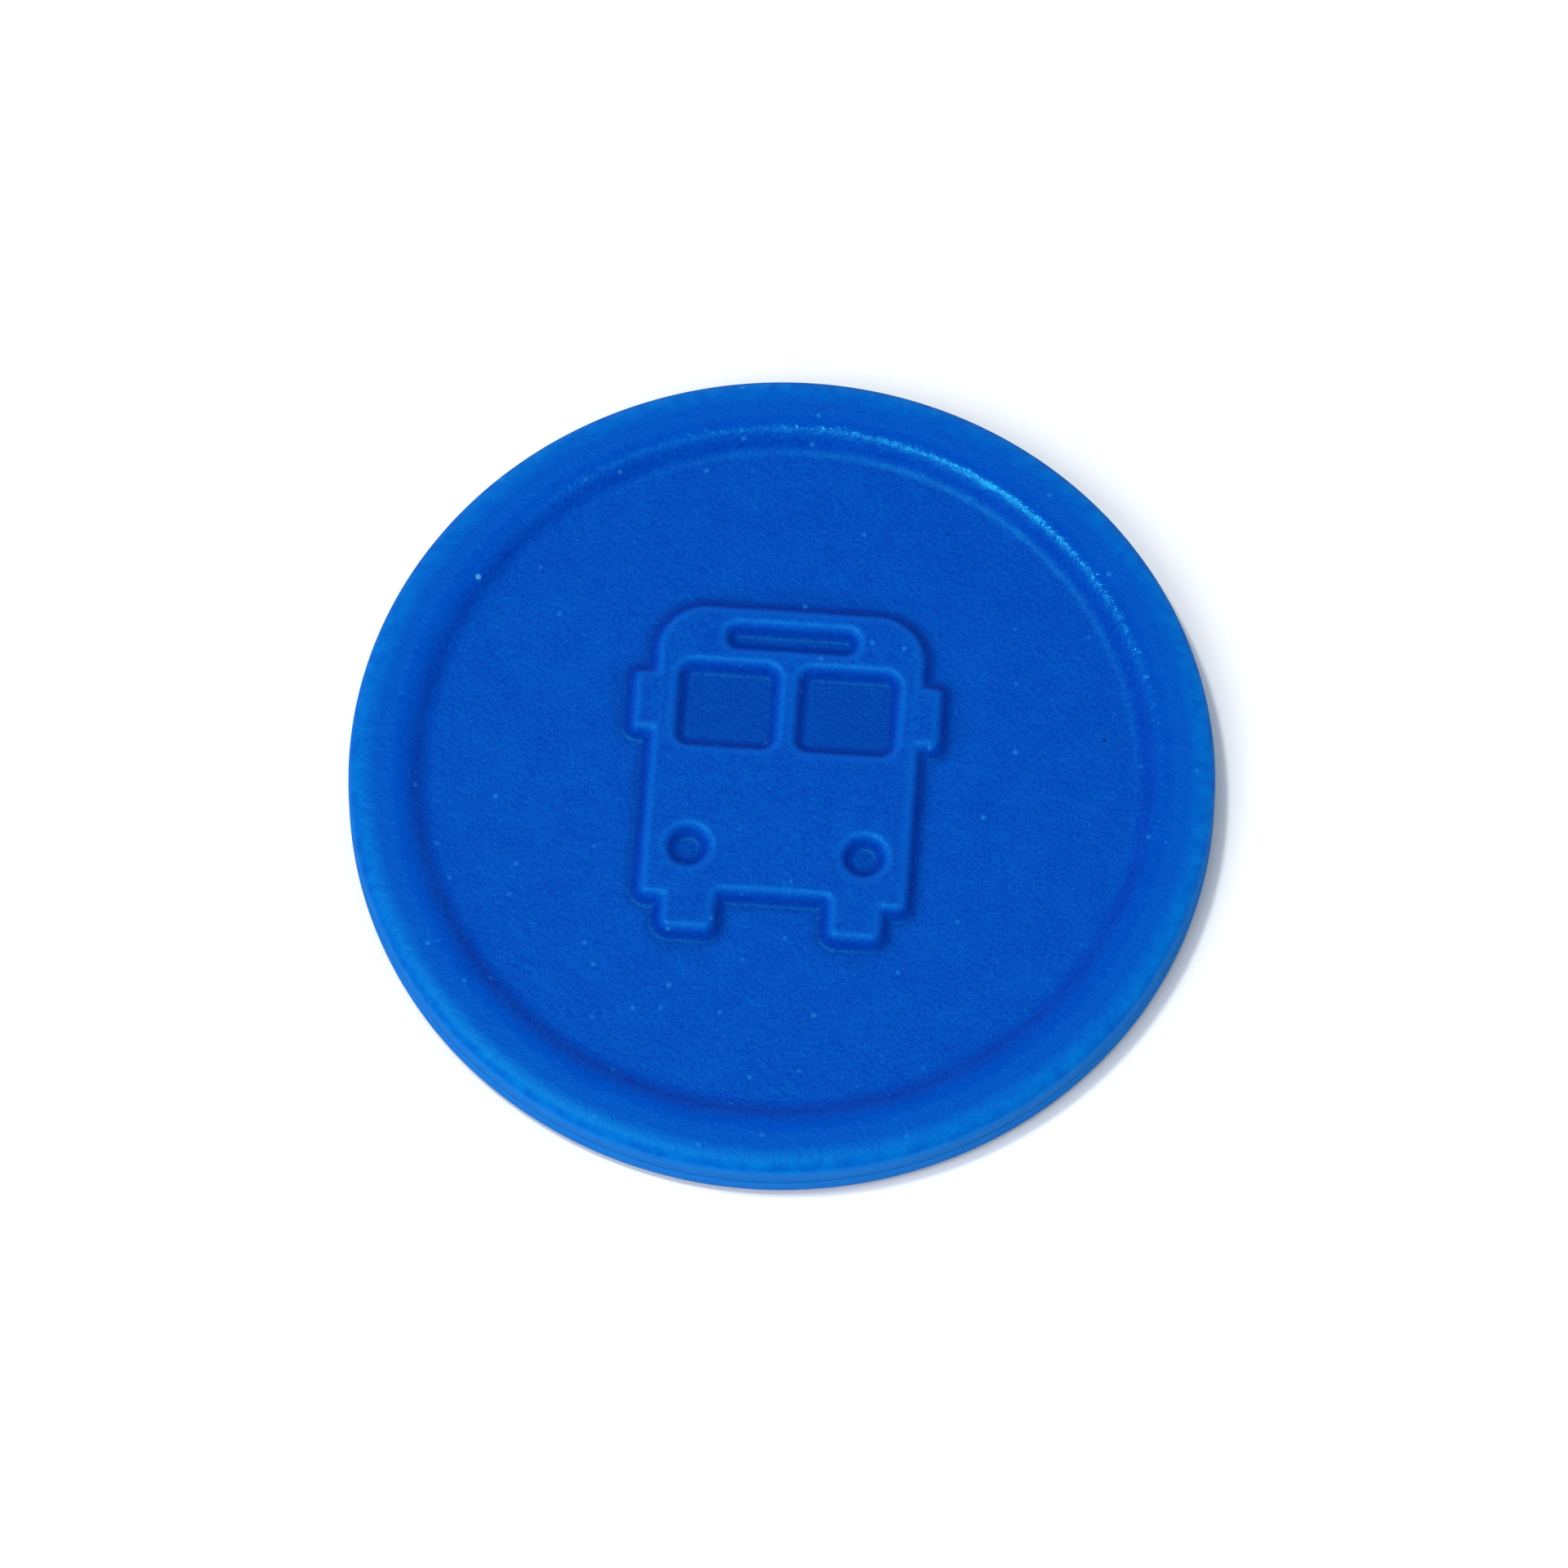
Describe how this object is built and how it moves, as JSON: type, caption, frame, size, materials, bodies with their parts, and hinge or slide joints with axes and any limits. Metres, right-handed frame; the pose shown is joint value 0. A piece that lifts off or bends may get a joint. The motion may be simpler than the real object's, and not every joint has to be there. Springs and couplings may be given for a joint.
{
  "type": "contactless transit token",
  "caption": "Round plastic fare token with a raised rim and a raised bus pictogram, two welded shells around a contactless chip-and-coil inlay.",
  "frame": {"origin": "centre of the back rim's plane, on the token's axis; the token lies flat on z = 0", "axes": "+Z is the token's axis, out of the front face; +Y is towards the top of the emblem; +X is to the right of the emblem seen from the front"},
  "size_m": [0.03, 0.03, 0.002],
  "materials": {
    "blue_abs": "moulded ABS, satin, cobalt blue through and through",
    "clear_tape": "double-sided acrylic tape",
    "laminate": "glass-epoxy laminate, bare, yellow-green",
    "copper": "etched copper foil, bare",
    "die_attach": "silver-filled epoxy film",
    "silicon": "polished silicon",
    "gold_wire": "drawn gold bond wire",
    "black_epoxy": "cured black epoxy glob top"
  },
  "bodies": {
    "root": {"front_shell": "blue_abs", "back_shell": "blue_abs", "adhesive_ring": "clear_tape", "inlay_board": "laminate", "antenna_coil": "copper", "return_track": "copper", "crossover_track": "copper", "outer_via": "copper", "inner_via": "copper", "die_attach_film": "die_attach", "transponder_die": "silicon", "bond_wire_coil": "gold_wire", "bond_wire_return": "gold_wire", "glob_top": "black_epoxy"}
  },
  "joints": []
}
